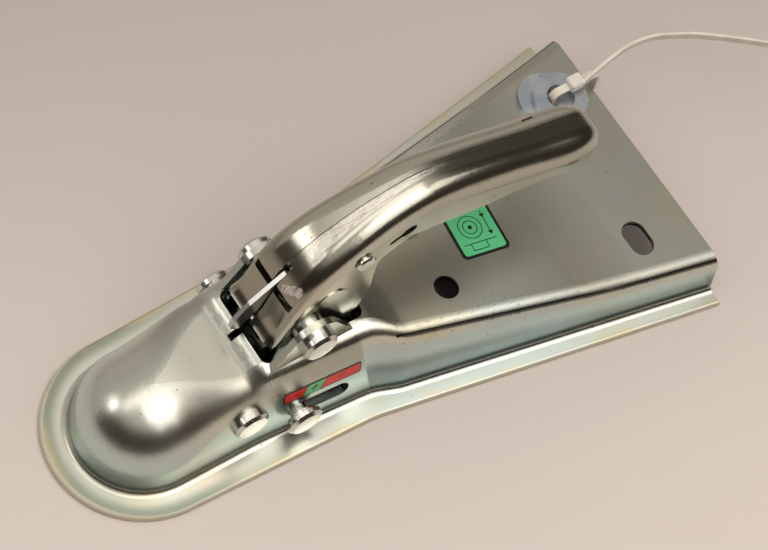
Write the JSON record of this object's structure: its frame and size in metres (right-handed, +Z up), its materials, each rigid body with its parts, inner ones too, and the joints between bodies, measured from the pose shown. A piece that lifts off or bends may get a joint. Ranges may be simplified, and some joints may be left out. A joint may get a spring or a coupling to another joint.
{
  "type": "trailer coupling head",
  "caption": "Pressed steel trailer coupling head for a V drawbar: domed ball socket, sliding jaw, lifting handle with safety catch, bolt holes in a sloping plate.",
  "frame": {"origin": "centre of the seated 50 mm towing ball", "axes": "+X backwards along the drawbar, +Z up, -Y the side that carries the wear indicator"},
  "size_m": [0.3783, 0.1476, 0.1136],
  "materials": {
    "zinc_sheet": "satin passivated zinc",
    "handle_zinc": "rubbed zinc",
    "bright_zinc": "bright zinc",
    "blue_zinc": "blue zinc",
    "dark_steel": "oiled",
    "jaw_steel": "machined",
    "plate_label": "printed foil",
    "side_label": "printed foil",
    "nylon": "natural nylon"
  },
  "bodies": {
    "coupling_body": {"body_shell": "zinc_sheet", "front_liner": "jaw_steel", "front_cross_pin": "bright_zinc", "pivot_bolt": "bright_zinc", "spring_seat": "zinc_sheet", "instruction_label": "plate_label", "indicator_label": "side_label", "mounting_washers": "blue_zinc", "cable_tie": "nylon"},
    "jaw": {"locking_jaw": "jaw_steel", "indicator_bolt": "bright_zinc", "indicator_collars": "bright_zinc", "pull_links": "dark_steel", "spring_rod": "dark_steel", "rod_nut": "bright_zinc", "closing_spring": "dark_steel"},
    "handle": {"handle_shell": "handle_zinc", "crank_pin": "bright_zinc", "pivot_spacers": "bright_zinc", "catch_pin": "bright_zinc", "catch_spring": "dark_steel"},
    "catch": {"safety_catch": "zinc_sheet"}
  },
  "joints": [
    {"name": "handle_hinge", "type": "hinge", "parent": "coupling_body", "child": "handle", "pos_m": [0.063, 0, 0.046], "axis": [0, -1, 0], "range_deg": [0, 60]},
    {"name": "jaw_slide", "type": "slide", "parent": "coupling_body", "child": "jaw", "axis": [1, 0, 0], "range_m": [0, 0.02], "deforming": ["closing_spring"]},
    {"name": "catch_hinge", "type": "hinge", "parent": "handle", "child": "catch", "pos_m": [0.0845, 0, 0.08188], "axis": [0, -1, 0], "range_deg": [0, 10], "stiffness_Nm_per_rad": 0.5, "springref_deg": -9.74}
  ],
  "couplings": [
    {"joint": "jaw_slide", "follows": "handle_hinge", "m_per_rad": 0.019099}
  ]
}
